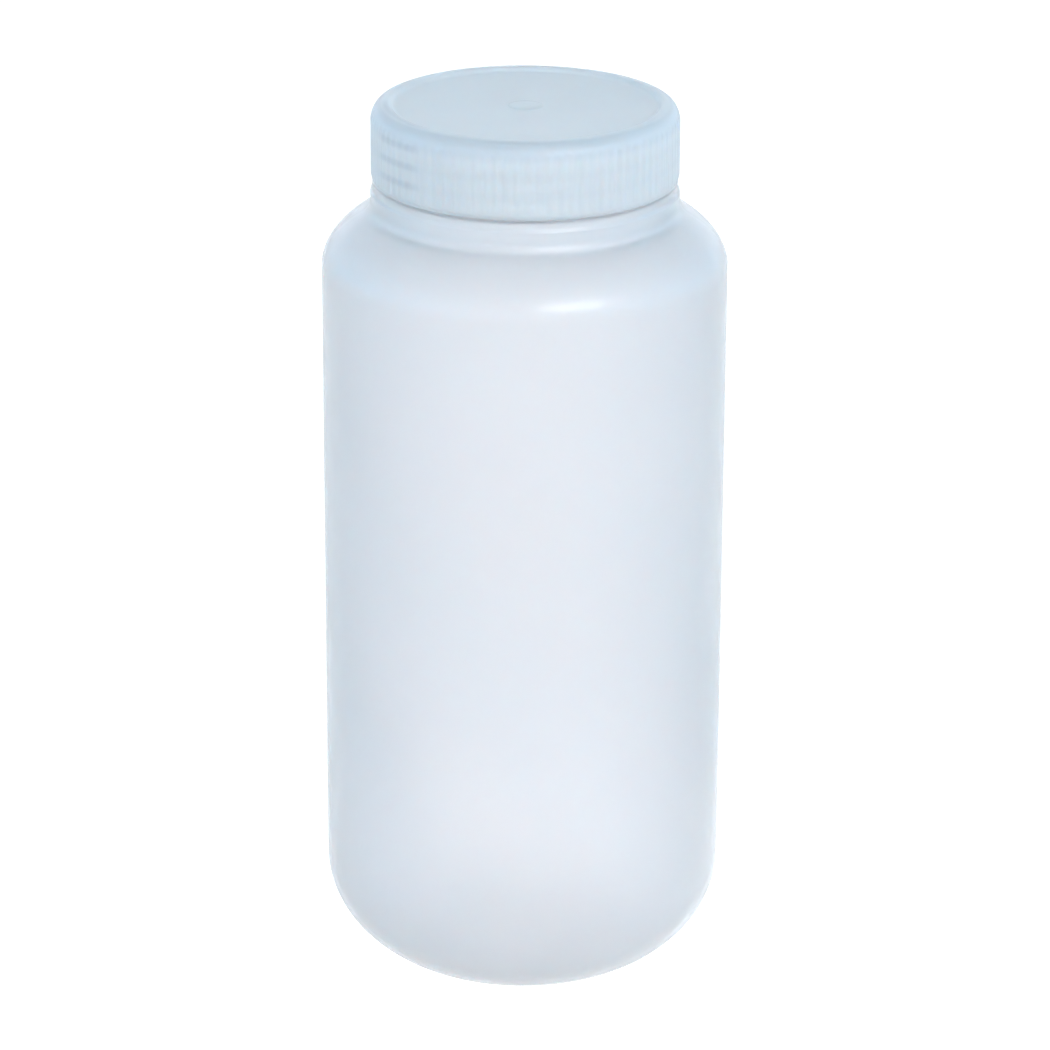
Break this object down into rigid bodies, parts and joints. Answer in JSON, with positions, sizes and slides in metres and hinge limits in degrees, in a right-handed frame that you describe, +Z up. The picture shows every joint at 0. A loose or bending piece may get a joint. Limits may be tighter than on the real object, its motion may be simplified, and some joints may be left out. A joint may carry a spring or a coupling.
{
  "type": "reagent bottle",
  "caption": "Wide-mouth translucent plastic laboratory bottle with rounded base and shoulder, and a ribbed screw cap on a right-hand thread.",
  "frame": {"origin": "centre of the standing ring, on the plane the bottle stands on", "axes": "+Z up along the bottle's axis, towards the cap; +X and +Y are level, and the bottle has no front"},
  "size_m": [0.091, 0.091, 0.2041],
  "materials": {
    "bottle_plastic": "natural milky translucent plastic, satin",
    "cap_plastic": "natural milky translucent plastic, satin, slightly bluer than the bottle",
    "liner_foam": "soft white closed-cell foam disc"
  },
  "bodies": {
    "bottle": {"bottle": "bottle_plastic"},
    "liner": {"liner_disc": "liner_foam"},
    "cap": {"screw_cap": "cap_plastic"}
  },
  "joints": [
    {"name": "cap_lift", "type": "slide", "parent": "bottle", "child": "liner", "axis": [0, 0, 1], "range_m": [0, 0.0255]},
    {"name": "cap_turn", "type": "hinge", "parent": "liner", "child": "cap", "pos_m": [0, 0, 0.187], "axis": [0, 0, 1], "range_deg": [0, 2160]}
  ],
  "couplings": [
    {"joint": "cap_lift", "follows": "cap_turn", "m_per_rad": 0.00067375}
  ]
}
